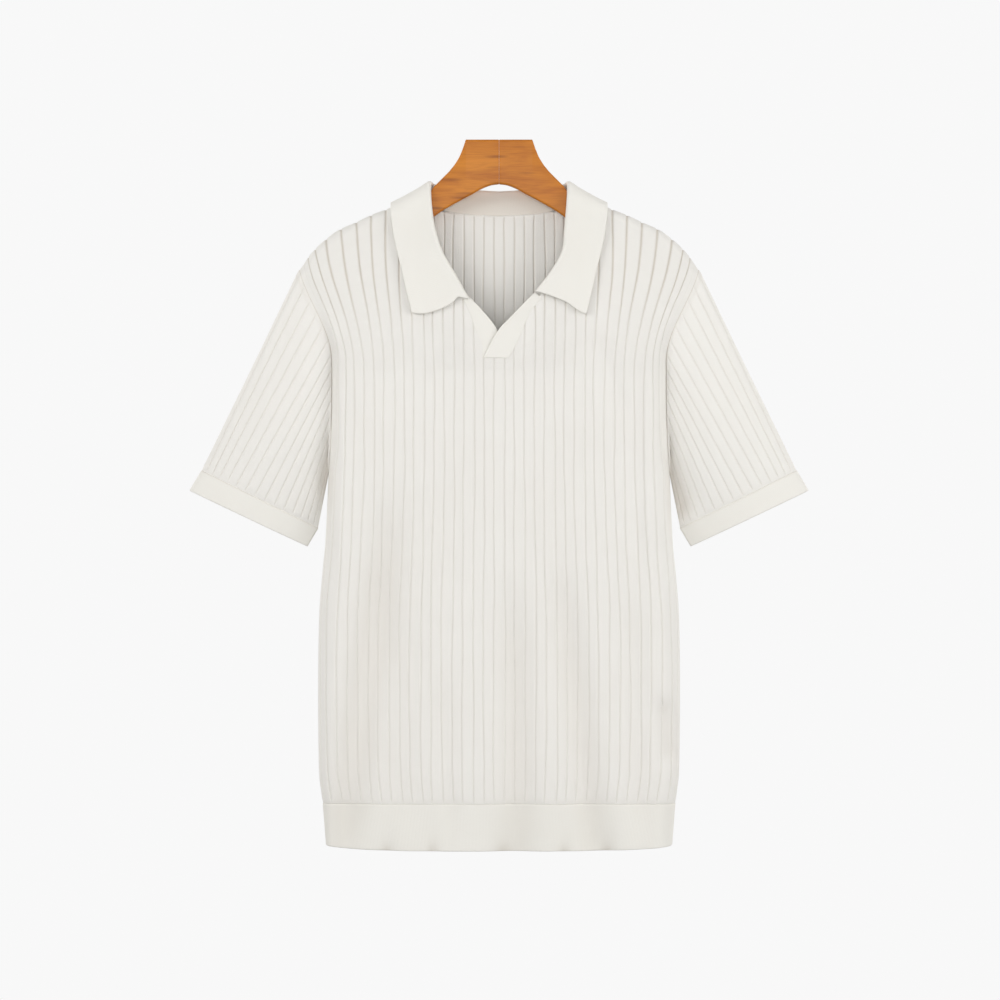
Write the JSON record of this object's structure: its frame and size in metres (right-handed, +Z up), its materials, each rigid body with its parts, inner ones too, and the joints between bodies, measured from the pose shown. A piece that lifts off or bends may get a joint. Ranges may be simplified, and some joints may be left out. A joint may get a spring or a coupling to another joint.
{
  "type": "polo shirt on a hanger",
  "caption": "Short-sleeved knit polo shirt with wide vertical ribs, an open V neck with a folded collar, and plain hem and cuffs, hung on a wooden hanger.",
  "frame": {"origin": "middle of the flat top of the hanger's neck, where a hook holds it up", "axes": "+Z up, -Y out of the shirt's front, +X to the wearer's left"},
  "size_m": [0.668, 0.0613, 0.767],
  "materials": {
    "rib_knit": "soft ivory rib knit",
    "plain_knit": "soft ivory plain knit",
    "wood": "satin varnished"
  },
  "bodies": {
    "root": {"front": "rib_knit", "back": "rib_knit", "hem_band_front": "plain_knit", "hem_band_back": "plain_knit", "sleeve_left": "rib_knit", "sleeve_right": "rib_knit", "cuff_left": "plain_knit", "cuff_right": "plain_knit", "collar": "plain_knit", "neck_band_left": "plain_knit", "neck_band_right": "plain_knit", "hanger_left": "wood", "hanger_right": "wood"}
  },
  "joints": []
}
